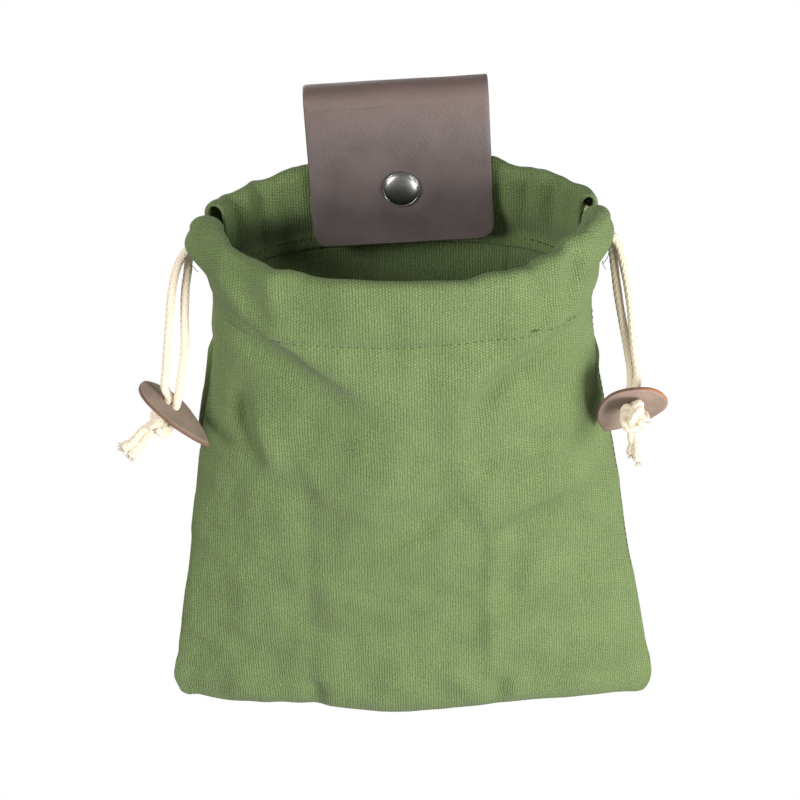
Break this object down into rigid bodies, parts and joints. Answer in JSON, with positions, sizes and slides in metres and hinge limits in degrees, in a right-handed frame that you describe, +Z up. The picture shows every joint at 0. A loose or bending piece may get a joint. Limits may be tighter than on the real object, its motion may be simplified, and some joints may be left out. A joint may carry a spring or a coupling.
{
  "type": "drawstring dice bag",
  "caption": "Canvas drawstring bag with an open oval mouth, a leather belt loop closed by a snap, and knotted cotton drawstrings with leather disc stops.",
  "frame": {"origin": "inside crown of the belt loop, on the bag's middle plane, where the top edge of a belt carries it", "axes": "+X across the bag to its right seen from the front, +Y back through the leather plate, +Z up"},
  "size_m": [0.229, 0.0825, 0.2987],
  "materials": {
    "canvas": "matte plain-weave cotton canvas",
    "green_thread": "matte sewing thread",
    "brown_thread": "matte sewing thread",
    "strap_leather": "pulled-up dark brown leather, worn lighter at the fold",
    "disc_leather": "dull brown leather with raw orange edges",
    "gunmetal": "polished black nickel plate",
    "cotton_cord": "natural braided cotton"
  },
  "bodies": {
    "bag": {"front_panel": "canvas", "back_panel": "canvas", "front_casing": "canvas", "back_casing": "canvas", "front_hem_stitching": "green_thread", "back_hem_stitching": "green_thread", "left_seam_stitching": "green_thread", "right_seam_stitching": "green_thread", "bottom_seam_stitching": "green_thread", "belt_loop": "strap_leather", "plate_stitching": "brown_thread", "snap_stud": "gunmetal", "snap_post": "gunmetal", "left_drawstring_run": "cotton_cord", "right_drawstring_run": "cotton_cord"},
    "flap": {"belt_flap": "strap_leather", "snap_cap": "gunmetal", "snap_socket": "gunmetal"},
    "left_tassel": {"left_strand_front": "cotton_cord", "left_strand_back": "cotton_cord"},
    "left_pull": {"left_knot": "cotton_cord"},
    "left_cord_stop": {"left_disc": "disc_leather"},
    "right_tassel": {"right_strand_front": "cotton_cord", "right_strand_back": "cotton_cord"},
    "right_pull": {"right_knot": "cotton_cord"},
    "right_cord_stop": {"right_disc": "disc_leather"}
  },
  "joints": [
    {"name": "flap_hinge", "type": "hinge", "parent": "bag", "child": "flap", "pos_m": [0, -0.008, -0.006], "axis": [-0.9994, 0, -0.0349], "range_deg": [0, 100]},
    {"name": "left_swing", "type": "hinge", "parent": "bag", "child": "left_tassel", "pos_m": [-0.0825, -0.0263, -0.056], "axis": [0, 1, 0], "range_deg": [0, 90]},
    {"name": "left_pull_out", "type": "slide", "parent": "left_tassel", "child": "left_pull", "axis": [-0.18, -0.145, -0.9729], "range_m": [0, 0.1], "deforming": ["left_strand_front", "left_strand_back"]},
    {"name": "left_disc_slide", "type": "slide", "parent": "left_pull", "child": "left_cord_stop", "axis": [0.18, 0.145, 0.9729], "range_m": [0, 0.018]},
    {"name": "right_swing", "type": "hinge", "parent": "bag", "child": "right_tassel", "pos_m": [0.0825, -0.0263, -0.056], "axis": [0, -1, 0], "range_deg": [0, 90]},
    {"name": "right_pull_out", "type": "slide", "parent": "right_tassel", "child": "right_pull", "axis": [0.105, -0.284, -0.9531], "range_m": [0, 0.1], "deforming": ["right_strand_front", "right_strand_back"]},
    {"name": "right_disc_slide", "type": "slide", "parent": "right_pull", "child": "right_cord_stop", "axis": [-0.105, 0.284, 0.9531], "range_m": [0, 0.01]}
  ]
}
